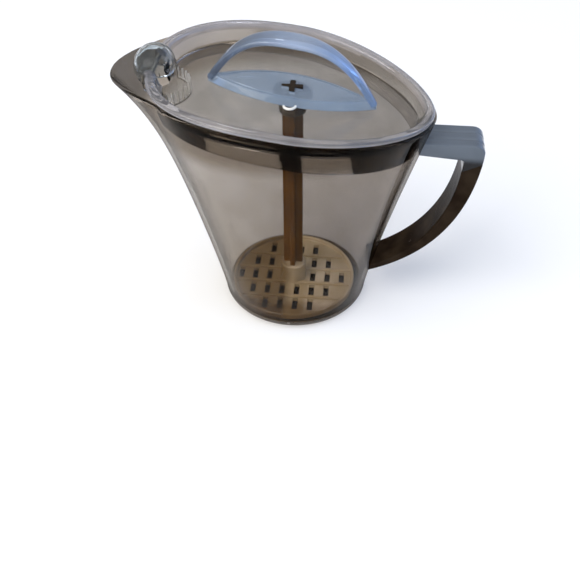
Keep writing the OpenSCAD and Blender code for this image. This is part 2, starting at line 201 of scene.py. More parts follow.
def finished(skin, name, materials, body, nodes, sharp=38):
    """Makes the bmesh a named piece: smooth but for its sharp edges, riding on its body in place of its CAD nodes."""
    for face in skin.faces:
        face.smooth = True
    for edge in skin.edges:
        edge.smooth = len(edge.link_faces) != 2 or edge.calc_face_angle(0) < math.radians(sharp)
    mesh = bpy.data.meshes.new(name)
    skin.to_mesh(mesh)
    skin.free()
    piece = bpy.data.objects.new(name, mesh)
    bpy.context.collection.objects.link(piece)
    for material in materials:
        mesh.materials.append(material)
    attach(piece, body)
    if nodes:
        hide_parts(*nodes)
    return piece


# The jug's tint is painted darker towards its right side, as shade, and darker grey in the spout, as a painted
# reflection of dark surroundings; its floor and heel turn dark brown, partly the foot's own brown and partly painted
# shade under the jug; and the wall is darker above 149 mm.
smoky_san = clear_moulding("smoky_SAN_polished_painted_shade", "#cfcac5", "#c8c2bb", gloss=(0, 0.01), ior=1.16,
                           wave=16, sink=0.04, edge="#a39d96", shine="#8a8886", mirror=0.3,
                           fades=(("X", -70, 70, "#ebe9e7"), ("Z", 5.5, 3.5, "#4a3418"), ("Z", 134, 148, "#c6beb4"),
                                  ("X", -86, -98, "#acaeb2")))
jug_rows = [lambda turn: (FOOT_SHIFT, 0, 0)] + [heel_row(math.radians(lean), 0) for lean in range(0, 91, 9)]
jug_rows += [wall_row(share, 0) for share in steps(0, 1, 56)[1:]]
jug_rows += [lip_row(math.radians(roll)) for roll in range(22, 160, 22)]
jug_rows += [wall_row(share, JUG_WALL) for share in steps(1, 0, 56)[:-1]]
jug_rows += [heel_row(math.radians(lean), JUG_WALL, JUG_FLOOR - JUG_WALL) for lean in range(90, -1, -9)]
jug_rows += [lambda turn: (FOOT_SHIFT, 0, JUG_FLOOR)]
jug = finished(wrapped(jug_rows), "jug_shell", [smoky_san], "jug", ["jug_body"])

# The handle: a thick bar of the same plastic, dark where it is looked through, 24 mm wide with two shallow
# grooves along its outer face. It leaves the jug under the rim, turns a tight corner and sweeps back to the foot.
HANDLE_WIDTH, HANDLE_REACH, HANDLE_TOP, HANDLE_FOOT = 24, 120.8, 130.786, 25
HANDLE_BAR, HANDLE_FOOT_BAR, HANDLE_ARM = 12.5, 3.8, 9
GROOVE_AT, GROOVE_HALF, GROOVE_DEPTH = 4.24, 1.1, 0.9
CORNER_OUT, CORNER_IN = 7, 2.5


def back_x(height):
    """The jug's outer face under the handle."""
    share = (height - HEEL_RADIUS) / (rim_height(RIM_BACK) - HEEL_RADIUS)
    return wall_point(0, share, False)[0]


def sweep(t):
    """A point and the outward normal of the handle's outer line, from under the corner (0) to the foot (1)."""
    a, b = Vector((HANDLE_REACH, HANDLE_TOP - CORNER_OUT)), Vector((HANDLE_REACH - 4.6, 51.6))
    c = Vector((back_x(HANDLE_FOOT), HANDLE_FOOT))
    run = (b - a) * (1 - t) + (c - b) * t
    return a * (1 - t) ** 2 + b * 2 * t * (1 - t) + c * t * t, Vector((-run.y, run.x)).normalized()


def bar_inside(t):
    spot, normal = sweep(t)
    return spot - normal * (HANDLE_BAR + (HANDLE_FOOT_BAR - HANDLE_BAR) * t)


def bar_section(outer, inner):
    """A ring round the handle's bar between an outer and an inner point of its side view."""
    def place(turn):
        y = HANDLE_WIDTH / 2 * max(-1, min(1, 1.35 * math.sin(turn)))
        level = 0.5 + 0.5 * max(-1, min(1, 1.35 * math.cos(turn)))
        groove = max(0, 1 - ((abs(y) - GROOVE_AT) / GROOVE_HALF) ** 2) if math.cos(turn) > 0 else 0
        spot = inner.lerp(outer, level - groove * GROOVE_DEPTH / (outer - inner).length)
        return spot.x, y, spot.y

    return place


inner_start = bar_inside(0.06)
bar_under = HANDLE_TOP - HANDLE_ARM
corner_mid = Vector((HANDLE_REACH - CORNER_OUT, HANDLE_TOP - CORNER_OUT))
inner_mid = Vector((inner_start.x - CORNER_IN, bar_under - 2.2 - CORNER_IN))
handle_pairs = []
for part in steps(0, 1, 10):
    high, low = back_x(HANDLE_TOP) - 2, back_x(bar_under) - 2
    handle_pairs.append((Vector((high + (corner_mid.x - high) * part, HANDLE_TOP)),
                         Vector((low + (inner_mid.x - low) * part, bar_under - 2.2 * part))))
for angle in range(75, 0, -15):
    lean = Vector((math.cos(math.radians(angle)), math.sin(math.radians(angle))))
    handle_pairs.append((corner_mid + lean * CORNER_OUT, inner_mid + lean * CORNER_IN))
inner_end = next((t / 400 for t in range(200, 401) if bar_inside(t / 400).x < back_x(bar_inside(t / 400).y) - 2), 1)
for part in steps(0.02, 1, 40):
    outer = sweep(part)[0] - Vector((2 * part**8, 0))
    handle_pairs.append((outer, bar_inside(0.06 + (inner_end - 0.06) * part) - Vector((2 * part**8, 0))))


def shut(pair):
    middle = (pair[0] + pair[1]) / 2
    return lambda turn: (middle.x, 0, middle.y)


# The handle's top arm is tinted blue-grey as a painted reflection of the sky, fading to dark brown below 118 mm.
sky_painted_arm_san = clear_moulding("thick_SAN_painted_sky_reflection", "#68717c", "#5b646e", gloss=(0.03, 0.1), clear=0.25, wave=12,
                         lamp=0.35, shine="#b9bcc2", fades=(("Z", 123, 117, "#50453e"),))
dark_san = clear_moulding("brown_black_thick_SAN_moulded", "#31281f", "#201812", gloss=(0.1, 0.3), ior=1.12, clear=0.15,
                          wave=7, sink=0.12, lamp=0.35, drift_size=14, mirror=0.12, shine="#8a7f76",
                          fades=(("Z", 40, 32, "#ffffff"),))
handle_rows = [shut(handle_pairs[0])] + [bar_section(*pair) for pair in handle_pairs] + [shut(handle_pairs[-1])]
handle = wrapped(handle_rows, 144)
# Faces above the seam take the arm's painted sky reflection; the bar below takes the dark plastic.
seam_outer, seam_inner = next(pair for pair in handle_pairs[16:] if pair[0].y < 118)
across = seam_outer - seam_inner
for face in handle.faces:
    spot = face.calc_center_median() / MM
    face.material_index = int(across.x * (spot.z - seam_inner.y) < across.y * (spot.x - seam_inner.x))
finished(handle, "handle_bow", [sky_painted_arm_san, dark_san], "jug", ["jug_handle"])

# The lid: one moulding of grey clear SAN. A rounded band lies on the jug's rim, a sunk plate fills it, and a
# skirt reaches down inside the jug. Brown tea stays as a thin film between the skirt and the jug's wall; it is
# painted near black on the near side only, where it is partly tea and partly painted shade, and pale on the far
# side and in two windows.
SEAT_GAP = 0.25
PLATE_SINK, PLATE_THICK = 8, 2.2
SKIRT_OUT, SKIRT_IN, SKIRT_DEPTH, SKIRT_TAPER = 3.2, 5.2, 18, 0.1
PLATE_EDGE = 8.1


def lid_row(depth, inset):
    """A ring depth under the rim and inset from the jug's outer face, as the skirt and band need."""
    def place(turn):
        top = rim_height(oval(turn)[0])
        on_skirt = depth > 1 and inset < 6
        sunk = depth * (1 + SKIRT_TAPER * (1 + math.cos(turn))) if on_skirt else depth
        share = min(1, 1 - sunk / (top - HEEL_RADIUS))
        x, y = set_in(wall_point(turn, share, False), inset)
        return x, y, top - sunk

    return place


def plate_row(part, depth, inset=PLATE_EDGE):
    def place(turn):
        x, y, _ = lid_row(PLATE_SINK, inset)(turn)
        return x * part, y * part, rim_height(x * part) - depth

    return place


def cross_prism(width, arm, low, high):
    """A plus-shaped prism about the jug's axis."""
    prism = bmesh.new()
    w, a = width / 2, arm / 2
    plan = [(w, -a), (w, a), (a, a), (a, w), (-a, w), (-a, a), (-w, a), (-w, -a), (-a, -a), (-a, -w), (a, -w), (a, -a)]
    face = prism.faces.new([prism.verts.new((x * MM, y * MM, low * MM)) for x, y in plan])
    top = bmesh.ops.extrude_face_region(prism, geom=[face])
    risen = [v for v in top["geom"] if isinstance(v, bmesh.types.BMVert)]
    bmesh.ops.translate(prism, verts=risen, vec=(0, 0, (high - low) * MM))
    bmesh.ops.recalc_face_normals(prism, faces=prism.faces)
    return prism


def block(low, high):
    box = bmesh.new()
    bmesh.ops.create_cube(box, size=1)
    for corner in box.verts:
        corner.co = Vector([(low[k] + high[k]) / 2 + corner.co[k] * (high[k] - low[k]) for k in range(3)]) * MM
    return box


def spun(outline, axis_at, angle=math.tau, start=0, turns=64):
    """An (radius, y) outline turned about an axis along y through axis_at, from start, towards the rim's top."""
    solid = bmesh.new()
    corners = [solid.verts.new(Vector((axis_at[0] + r * math.cos(start), y, axis_at[1] + r * math.sin(start))) * MM)
               for r, y in outline]
    whole = angle > math.tau - 0.01
    shape = [solid.faces.new(corners)]
    bmesh.ops.spin(solid, geom=shape + list(solid.edges) + corners, cent=(axis_at[0] * MM, 0, axis_at[1] * MM),
                   axis=(0, -1, 0), angle=angle, steps=turns, use_merge=whole)
    if whole:
        bmesh.ops.delete(solid, geom=[f for f in solid.faces if len(f.verts) > 4], context="FACES_ONLY")
    bmesh.ops.remove_doubles(solid, verts=solid.verts, dist=2e-6)
    bmesh.ops.recalc_face_normals(solid, faces=solid.faces)
    return solid


def carved(solid, cutters):
    """The solid less its cutters, as a new bmesh."""
    spare = []
    for k, part in enumerate([solid, *cutters]):
        mesh = bpy.data.meshes.new(f"carving_{k}")
        part.to_mesh(mesh)
        part.free()
        spare.append(bpy.data.objects.new(f"carving_{k}", mesh))
        bpy.context.collection.objects.link(spare[-1])
    for cutter in spare[1:]:
        cut = spare[0].modifiers.new("cut", "BOOLEAN")
        cut.operation, cut.solver, cut.object = "DIFFERENCE", "EXACT", cutter
    left = bpy.data.meshes.new_from_object(spare[0].evaluated_get(bpy.context.evaluated_depsgraph_get()))
    result = bmesh.new()
    result.from_mesh(left)
    for used in spare:
        bpy.data.meshes.remove(used.data)
    bpy.data.meshes.remove(left)
    return result


ROD_WIDE, ROD_ARM, ROD_ROOM = 13.2, 3.4, 0.8
PIVOT = (-84, rim_height(-84))
BARREL_RADIUS, BARREL_END, BARREL_HALF, BARREL_GAP = 12.8, 6.2, 14, 0.6
BARREL_STRETCH = BARREL_HALF / math.sqrt(1 - (BARREL_END / BARREL_RADIUS) ** 2)


def barrel(y):
    return BARREL_RADIUS * math.sqrt(1 - (y / BARREL_STRETCH) ** 2)


band = [(SKIRT_OUT, -SEAT_GAP), (2.2, -SEAT_GAP), (1.45, -0.28), (1.2, -0.5), (1.2, -1.3), (1.28, -1.9), (1.6, -2.45),
        (2.2, -2.8), (3.1, -2.98), (4.2, -3), (5.4, -2.95), (6.3, -2.75), (7, -2.35), (7.5, -1.75), (7.75, -1),
        (7.85, 0)]
skirt = [(SKIRT_OUT, d) for d in steps(0.4, SKIRT_DEPTH - 1, 18)]
skirt += [(SKIRT_OUT + 0.3, SKIRT_DEPTH - 0.3), (SKIRT_OUT + 1, SKIRT_DEPTH), (SKIRT_IN - 0.3, SKIRT_DEPTH - 0.3)]
skirt += [(SKIRT_IN, d) for d in steps(SKIRT_DEPTH - 1, 12.2, 3)]
lid_rows = [lambda turn: (0, 0, rim_height(0) - PLATE_SINK)]
lid_rows += [plate_row(part, PLATE_SINK) for part in steps(0.1, 0.9, 8) + [0.95, 0.975]]
lid_rows += [plate_row(1, PLATE_SINK - 0.25), plate_row(1, PLATE_SINK - 1, 8)]
lid_rows += [lid_row(1.2, 7.92)] + [lid_row(d, i) for i, d in reversed(band)] + [lid_row(d, i) for i, d in skirt]
lid_rows += [plate_row(1, PLATE_SINK + PLATE_THICK + 0.6, 7.4), plate_row(0.97, PLATE_SINK + PLATE_THICK)]
lid_rows += [plate_row(part, PLATE_SINK + PLATE_THICK) for part in steps(0.9, 0.1, 8)]
lid_rows += [lambda turn: (0, 0, rim_height(0) - PLATE_SINK - PLATE_THICK)]

grey_san = clear_moulding("grey_clear_SAN_moulded", "#c2c0bd", "#b4b2af", gloss=(0, 0.03), ior=1.36, wave=14, sink=0.05)
# The recess wall round the plate is tinted near white, a painted reflection of the window, lightest at its left end.
recess_wall_painted_light_san = clear_moulding("clear_SAN_recess_wall_painted_reflection", "#f0efed", "#e6e4e1", gloss=(0.05, 0.15), ior=1.3,
                          wave=14, clear=0.8, fades=(("X", -35, -25, "#a9a8a6"), ("X", 40, 52, "#ffffff")))
# The rolled band is tinted lighter and bluer than the plate: partly its own grey and partly a painted highlight of the
# sky.
band_san_painted_highlight = clear_moulding("grey_SAN_rolled_band_partly_painted_highlight", "#d6d6dc", "#c4c4cb", wave=8, gloss=(0.04, 0.12), ior=1.4,
                          clear=0.85, shine="#ffffff")
# The film: near-black brown on the near side, partly tea stain and partly painted shade, washed pale towards the far
# side and in two windows.
tea_film_and_shade = clear_moulding("brown_tea_film_and_painted_shade_on_SAN", "#0d0804", "#20150a", gloss=(0.02, 0.1), wave=6, lamp=0.75,
                          drift_size=12, ior=1.2, mirror=0.3, shine="#4a4540")
shader = tea_film_and_shade.node_tree.nodes["Principled BSDF"]
tone = shader.inputs["Base Color"].links[0].from_socket
where = tea_film_and_shade.node_tree.nodes["Vector Math"].outputs["Vector"]
spread = add(tea_film_and_shade, "SeparateXYZ", {"Vector": add(tea_film_and_shade, "VectorMath", {0: where, 1: (1 / MM,) * 3},
                                                      operation="MULTIPLY").outputs["Vector"]})
bend = add(tea_film_and_shade, "Math", {0: spread.outputs["X"], 1: -0.0007, 2: -0.144}, operation="MULTIPLY_ADD")
rise = add(tea_film_and_shade, "Math", {0: bend.outputs["Value"], 1: spread.outputs["X"], 2: 165.2}, operation="MULTIPLY_ADD")
sunk = add(tea_film_and_shade, "Math", {0: rise.outputs["Value"], 1: spread.outputs["Z"]}, operation="SUBTRACT").outputs["Value"]
bare = add(tea_film_and_shade, "MapRange", {"Value": spread.outputs["Y"], "From Min": 0, "From Max": 30}).outputs["Result"]
for centre, half, level, reach in ((-22.5, 21, 13.5, 9), (26, 14, 14.5, 10)):
    aside = add(tea_film_and_shade, "Math", {0: spread.outputs["X"], 1: 1 / half, 2: -(centre + 7) / half},
                operation="MULTIPLY_ADD")
    down = add(tea_film_and_shade, "Math", {0: sunk, 1: 1 / reach, 2: -level / reach}, operation="MULTIPLY_ADD")
    apart = [add(tea_film_and_shade, "Math", {0: way.outputs["Value"]}, operation="ABSOLUTE") for way in (aside, down)]
    powers = [add(tea_film_and_shade, "Math", {0: part.outputs["Value"], 1: 5}, operation="POWER") for part in apart]
    far_off = add(tea_film_and_shade, "Math", {k: part.outputs["Value"] for k, part in enumerate(powers)}, operation="ADD")
    pane = add(tea_film_and_shade, "MapRange", {"Value": far_off.outputs["Value"], "From Min": 1.3, "From Max": 0.8})
    bare = add(tea_film_and_shade, "Math", {0: bare, 1: pane.outputs["Result"]}, operation="MAXIMUM").outputs["Value"]
washed = add(tea_film_and_shade, "MixRGB", {"Fac": bare, "Color1": tone, "Color2": linear("#efe9e0")})
tea_film_and_shade.node_tree.links.new(washed.outputs["Color"], shader.inputs["Base Color"])
barrel_room = [(0.01, -BARREL_HALF - BARREL_GAP)] + [
    (barrel(k / 10 * BARREL_HALF) + BARREL_GAP, k / 10 * (BARREL_HALF + BARREL_GAP)) for k in range(-10, 11)
] + [(0.01, BARREL_HALF + BARREL_GAP)]
lid_skin = carved(wrapped(lid_rows), [
    cross_prism(ROD_WIDE + ROD_ROOM, ROD_ARM + ROD_ROOM, 120, 180), spun(barrel_room, PIVOT, turns=72),
    block((-120, -12, PIVOT[1] - 36), (PIVOT[0], 12, PIVOT[1])),
    block((-120, -12, PIVOT[1] - 36.5), (-77, 12, PIVOT[1] - PLATE_SINK - PLATE_THICK - 0.1))])
# Band faces take the band's tint with its painted highlight, outward skirt faces the film with its painted shade, the
# recess wall its painted reflection, and the rest the plate.
for face in lid_skin.faces:
    spot = face.calc_center_median() / MM
    depth = rim_height(spot.x) - spot.z
    outward = face.normal.x * spot.x + face.normal.y * spot.y
    steep = abs(face.normal.z) < 0.6
    face.material_index = 2 if depth < 1.6 else 1 if outward > 0 and steep else 3 if steep and depth < PLATE_SINK else 0
finished(lid_skin, "lid_band_plate_and_skirt", [grey_san, tea_film_and_shade, band_san_painted_highlight, recess_wall_painted_light_san], "lid", ["lid"])

# The two ears beside the pour shutter: rounded posts moulded up from the plate, which hold the hinge pin.
EAR_RADIUS, EAR_THICK = 4.4, 4
EAR_IN = BARREL_HALF + BARREL_GAP
for side in (-1, 1):
    outline = [(0.01, EAR_IN), (EAR_RADIUS - 0.5, EAR_IN), (EAR_RADIUS, EAR_IN + 0.5), (EAR_RADIUS, EAR_IN + 3.5),
               (EAR_RADIUS - 0.5, EAR_IN + EAR_THICK), (0.01, EAR_IN + EAR_THICK)]
    ear = spun([(r, side * y) for r, y in outline], PIVOT)
    for corner in ear.verts:
        drop = PIVOT[1] * MM - corner.co.z
        if drop > 0.2 * MM:
            corner.co.z -= (PLATE_SINK + 1 - EAR_RADIUS) * MM * min(1, drop / (EAR_RADIUS * 0.5 * MM))
    finished(ear, f"shutter_ear_{'near' if side < 0 else 'far'}", [grey_san], "lid", ["lid"])

# The strainer comb: a low curved wall under the plate behind the shutter, cut by narrow slots from the plate
# down, which holds back leaves and ice. Moulded in the lid's plastic, its slot sides and bevelled cut edges are
# tinted near white as a painted highlight.
COMB_RADIUS, COMB_WALL, COMB_HEIGHT, COMB_HALF = 21, 1.6, 8.5, 68
SLOTS, SLOT_WIDE, SLOT_HIGH = 11, 2.8, 6.8
comb_top = rim_height(COMB_RADIUS - 84) - PLATE_SINK - PLATE_THICK - 0.1
comb = bmesh.new()
comb_face = comb.faces.new([comb.verts.new(Vector((PIVOT[0] + r, 0, comb_top - d)) * MM) for r, d in (
    (COMB_RADIUS - COMB_WALL, 0), (COMB_RADIUS - COMB_WALL, COMB_HEIGHT - 0.4),
    (COMB_RADIUS - COMB_WALL + 0.4, COMB_HEIGHT),
    (COMB_RADIUS - 0.4, COMB_HEIGHT), (COMB_RADIUS, COMB_HEIGHT - 0.4), (COMB_RADIUS, 0))])
comb_turn = math.radians(COMB_HALF)
bmesh.ops.rotate(comb, verts=comb.verts, cent=(PIVOT[0] * MM, 0, 0), matrix=Matrix.Rotation(-comb_turn, 3, "Z"))
bmesh.ops.spin(comb, geom=[comb_face], cent=(PIVOT[0] * MM, 0, 0), axis=(0, 0, 1), angle=2 * comb_turn, steps=72)
bmesh.ops.recalc_face_normals(comb, faces=comb.faces)
slots = bmesh.new()
for k in range(1, SLOTS + 1):
    made = bmesh.ops.create_cube(slots, size=1)["verts"]
    bmesh.ops.scale(slots, verts=made, vec=(4 * MM, SLOT_WIDE * MM, COMB_HEIGHT * MM))
    bmesh.ops.translate(slots, verts=made, vec=(COMB_RADIUS * MM, 0, 0))
    bmesh.ops.rotate(slots, verts=made, cent=(0, 0, 0), matrix=Matrix.Rotation(
        math.radians(k * 2 * COMB_HALF / (SLOTS + 1) - COMB_HALF), 3, "Z"))
    bmesh.ops.translate(slots, verts=made, vec=(PIVOT[0] * MM, 0, (comb_top - SLOT_HIGH + COMB_HEIGHT / 2) * MM))
# Near-white plastic: a painted highlight on the comb's slot edges, also used for the grip's eye.
bright_san = clear_moulding("white_SAN_eye_and_painted_edge_highlight", "#ffffff", "#f4f3ef", gloss=(0.1, 0.25), wave=3, clear=0.35)
comb_skin = carved(comb, [slots])
for face in comb_skin.faces:
    spot = face.calc_center_median() / MM - Vector((PIVOT[0], 0, comb_top))
    along = abs(Vector((spot.x, spot.y)).normalized().dot(Vector((face.normal.x, face.normal.y))))
    face.material_index = int(along < 0.5 and -SLOT_HIGH - 0.1 < spot.z < -0.2)
cut_edges = [e for e in comb_skin.edges if sorted(f.material_index for f in e.link_faces) == [0, 1]]
bmesh.ops.bevel(comb_skin, geom=cut_edges, offset=0.4 * MM, segments=1, profile=0.5, affect="EDGES", material=1)
finished(comb_skin, "strainer_comb", [grey_san, bright_san], "lid", ["strainer"], sharp=25)

# The pour shutter: a barrel-shaped shell of colourless SAN, open behind and below. It turns on the pin, and
# tipping it back opens the way from the strainer to the spout.
SHUTTER_WALL, HUB_RADIUS, LAP, FRONT = 1.6, 3.4, 10, 55
shell = [(HUB_RADIUS - 0.4, -BARREL_HALF)]
shell += [(barrel(k / 12 * BARREL_HALF), k / 12 * BARREL_HALF) for k in range(-12, 13)]
shell += [(HUB_RADIUS - 0.4, BARREL_HALF), (HUB_RADIUS - 0.4, BARREL_HALF - SHUTTER_WALL)]
shell += [(barrel(k / 12 * BARREL_HALF) - SHUTTER_WALL, k / 12 * (BARREL_HALF - SHUTTER_WALL))
          for k in range(12, -13, -1)]
shell += [(HUB_RADIUS - 0.4, SHUTTER_WALL - BARREL_HALF)]
ice_clear = clear_moulding("colourless_SAN_moulded", "#e2e7ea", "#d0d8dc", gloss=(0.01, 0.08), ior=1.28, wave=4,
                           sink=0.3)
finished(spun(shell, PIVOT, math.radians(180 + LAP + FRONT), math.radians(-LAP), 80), "pour_shutter", [ice_clear],
         "shutter", ["shutter"])

# The hinge pin: a clear moulded rod, 3 mm thick, pressed through both ears.
PIN_RADIUS = 1.5
PIN_HALF = EAR_IN + EAR_THICK
pin = spun([(0.01, -PIN_HALF), (PIN_RADIUS - 0.3, -PIN_HALF), (PIN_RADIUS, 0.3 - PIN_HALF),
            (PIN_RADIUS, PIN_HALF - 0.3), (PIN_RADIUS - 0.3, PIN_HALF), (0.01, PIN_HALF)], PIVOT, turns=32)
finished(pin, "shutter_hinge_pin", [ice_clear], "lid", ["shutter_pin"])

# The guide collar: a short bell-shaped boss under the plate, with a plus-shaped hole that keeps the rod upright.
COLLAR_RADIUS, COLLAR_END, COLLAR_HIGH = 12.5, 9, 11
collar_top = rim_height(0) - PLATE_SINK - PLATE_THICK
bell = [(0, -COLLAR_HIGH), (COLLAR_END - 0.7, -COLLAR_HIGH), (COLLAR_END - 0.4, 0.4 - COLLAR_HIGH),
        (COLLAR_END - 0.2, -7), (COLLAR_END + 0.2, -4.4), (COLLAR_END + 1, -2.6), (COLLAR_RADIUS - 1.2, -1.2),
        (COLLAR_RADIUS, -0.4), (COLLAR_RADIUS, 0), (0, 0)]
collar = wrapped([(lambda turn, r=r, z=z: (r * math.cos(turn), r * math.sin(turn), collar_top + z
                                           - (0.144 * r * math.cos(turn) + 0.25 if z > -1 else 0))) for r, z in bell], 96)
bmesh.ops.recalc_face_normals(collar, faces=collar.faces)
stained_san = clear_moulding("tea_stained_SAN_moulded", "#8a765c", "#6d583c", gloss=(0.05, 0.2), wave=8, clear=0.7,
                             lamp=0.5)
finished(carved(collar, [cross_prism(ROD_WIDE + ROD_ROOM, ROD_ARM + ROD_ROOM, 120, 180)]), "rod_guide_collar",
         [stained_san], "lid", ["guide_collar"])

# The grip: translucent plastic, tinted pale blue as a painted reflection of the sky. A long lens-shaped foot lies
# on the plate, and a broad arch springs from its ends, wide in the middle and narrow where it meets the foot. A
# small eye stands at the near side.
GRIP_HALF, GRIP_WIDE, GRIP_FLOOR_WIDE, GRIP_GAP, GRIP_FOOT_HIGH = 52, 18.4, 15.4, 0.3, 5.2
ARCH_HIGH, ARCH_THICK, ARCH_WIDE, ARCH_END_WIDE, ARCH_END = 31, 4.3, 17.2, 4.4, 0.965


def lens(x, half, wide):
    radius = (half * half + wide * wide) / (2 * wide)
    return math.sqrt(radius * radius - x * x) - radius + wide if abs(x) < half else 0


def foot_row(x):
    low = rim_height(x) - PLATE_SINK + GRIP_GAP
    wide, floor_wide = max(0.4, lens(x, GRIP_HALF, GRIP_WIDE)), max(0.2, lens(x, 0.96 * GRIP_HALF, GRIP_FLOOR_WIDE))

    def place(turn):
        level = 0.5 + 0.5 * signed_power(math.sin(turn), 0.24)
        width = wide + (floor_wide - wide) * max(0, level - 0.2) / 0.8
        return x, width * signed_power(math.cos(turn), 0.24), low + GRIP_FOOT_HIGH * level

    return place


def arch_spot(t):
    x = ARCH_END * GRIP_HALF * t
    foot = rim_height(x) - PLATE_SINK + GRIP_GAP + GRIP_FOOT_HIGH / 2
    return Vector((x, foot + (ARCH_HIGH + GRIP_FOOT_HIGH / 2 - ARCH_THICK / 2) * (1 - abs(t) ** 2.7)))


def arch_row(t):
    spot, run = arch_spot(t), arch_spot(t + 0.01) - arch_spot(t - 0.01)
    normal = Vector((-run.y, run.x)).normalized() * ARCH_THICK / 2
    half = (ARCH_END_WIDE + (ARCH_WIDE - ARCH_END_WIDE) * (1 - abs(t) ** 1.4)) / 2

    def place(turn):
        up = signed_power(math.sin(turn), 0.7)
        return spot.x + normal.x * up, half * signed_power(math.cos(turn), 0.5), spot.y + normal.y * up

    return place


grip_plastic_painted_sky_blue = clear_moulding("clear_moulded_painted_sky_blue", "#b9c7d6", "#a9bacd", gloss=(0.03, 0.1), clear=0.75,
                              wave=10, lamp=0.6)
foot_x = [GRIP_HALF * math.sin(math.pi / 2 * k) for k in steps(-1, 1, 64)]
foot_rows = [lambda turn: (-GRIP_HALF, 0, rim_height(-GRIP_HALF) - 6)] + [foot_row(x) for x in foot_x]
foot_rows += [lambda turn: (GRIP_HALF, 0, rim_height(GRIP_HALF) - 6)]
TRAY_HALF, TRAY_DEEP = 0.86 * GRIP_HALF, 0.8


def tray_row(x):
    """The shallow tray in the top of the foot, 1.5 mm in from its edge."""
    wide = max(0.1, lens(x, TRAY_HALF, GRIP_FLOOR_WIDE - 1.5))
    high = rim_height(x) - PLATE_SINK + GRIP_GAP + GRIP_FOOT_HIGH
    return lambda turn: (x, wide * max(-1, min(1, 1.6 * math.cos(turn))),
                         high + max(-TRAY_DEEP, min(4, 8 * math.sin(turn))))


tray_x = [TRAY_HALF * k for k in steps(-1, 1, 40)]
tray = wrapped([lambda turn: (tray_x[0], 0, rim_height(tray_x[0]) - 2)] + [tray_row(x) for x in tray_x]
               + [lambda turn: (tray_x[-1], 0, rim_height(tray_x[-1]) - 2)], 64)
foot_skin = carved(wrapped(foot_rows, 96), [tray, cross_prism(ROD_WIDE + 0.1, ROD_ARM + 0.1, 140, 180)])
finished(foot_skin, "grip_foot", [grip_plastic_painted_sky_blue], "plunger", ["grip"])
arch_ends = [lambda turn, tip=arch_spot(t): (tip.x, 0, tip.y) for t in (-1, 1)]
arch_rows = [arch_ends[0]] + [arch_row(t) for t in steps(-1, 1, 72)] + [arch_ends[1]]
# The arch is tinted pale blue as a painted sky reflection, painted darker towards its left end as shade, and bluer
# towards its right end as the blue window's light.
arch_plastic_painted_sky_and_shade = clear_moulding("clear_arch_painted_sky_blue_and_shade", "#bccbe0", "#b0c2dc", gloss=(0.05, 0.12), clear=0.7,
                              wave=10, lamp=0.6, shine="#ffffff", fades=(("X", 5, -42, "#a3a8b0"), ("X", 10, 40, "#d9ebff")))
finished(wrapped(arch_rows, 64), "grip_arch", [arch_plastic_painted_sky_and_shade], "plunger", ["grip"])
eye = bmesh.new()
bmesh.ops.create_circle(eye, cap_ends=True, radius=0.8 * MM, segments=16)
bmesh.ops.rotate(eye, verts=eye.verts, cent=(0, 0, 0), matrix=Matrix.Rotation(math.pi / 2, 3, "X"))
bmesh.ops.translate(eye, verts=eye.verts, vec=(3.5 * MM, 0, 0))
bmesh.ops.spin(eye, geom=list(eye.faces), cent=(0, 0, 0), axis=(0, 0, -1), angle=math.pi, steps=32)
bmesh.ops.translate(eye, verts=eye.verts, vec=(0, -17.6 * MM, (rim_height(0) - PLATE_SINK + 1.15) * MM))
bmesh.ops.recalc_face_normals(eye, faces=eye.faces)
finished(eye, "grip_eye", [bright_san], "plunger", ["grip"])

# The plunger's rod: a plus-shaped bar of dark amber plastic, 13 mm across its arms, stained by tea.
DISC_Z, DISC_THICK = 3.6, 2.6
# The rod's top end is painted dark blue-grey, as the shade seen looking down its length.
amber = clear_moulding("amber_brown_moulded_painted_dark_tip", "#75501f", "#5a3a14", gloss=(0.12, 0.3), clear=0.3, wave=20, lamp=0.3,
                       fades=(("Z", 152, 158, "#5a5f6c"),))
rod = cross_prism(ROD_WIDE, ROD_ARM, DISC_Z + DISC_THICK, rim_height(0) - PLATE_SINK + GRIP_GAP + GRIP_FOOT_HIGH - 0.3)
bmesh.ops.bevel(rod, geom=[e for e in rod.edges if abs(e.verts[0].co.z - e.verts[1].co.z) > 0.01], offset=0.5 * MM,
                segments=3, profile=0.5, affect="EDGES", material=-1)
finished(rod, "cross_rod", [amber], "plunger", ["press_rod"])

# The press disc: a round plate of smoky brown plastic with columns of slots, low ribs between their rows, a
# raised rim and a round hub that holds the rod.
DISC_RADIUS, RIM_WALL, RIM_HIGH, HUB_R, HUB_HIGH = 44.2, 2.2, 5, 9, 15
COLUMN, ROW, HOLE_WIDE, HOLE_LONG, RIB_WIDE, RIB_HIGH = 10.5, 15, 3.8, 11, 2.4, 1.2
profile = [(0, 0), (DISC_RADIUS - 1.2, 0), (DISC_RADIUS, 1.2), (DISC_RADIUS, RIM_HIGH - 0.5),
           (DISC_RADIUS - 0.5, RIM_HIGH),
           (DISC_RADIUS - RIM_WALL + 0.5, RIM_HIGH), (DISC_RADIUS - RIM_WALL, RIM_HIGH - 0.5),
           (DISC_RADIUS - RIM_WALL, DISC_THICK + 0.6), (DISC_RADIUS - RIM_WALL - 0.6, DISC_THICK),
           (HUB_R + 1.5, DISC_THICK),
           (HUB_R + 0.4, DISC_THICK + 0.4), (HUB_R, DISC_THICK + 1.5), (HUB_R, DISC_THICK + HUB_HIGH - 1),
           (HUB_R - 1, DISC_THICK + HUB_HIGH), (0, DISC_THICK + HUB_HIGH)]
disc_rows = [(lambda turn, r=r, z=z: (r * math.cos(turn), r * math.sin(turn), DISC_Z + z)) for r, z in profile]
holes = bmesh.new()
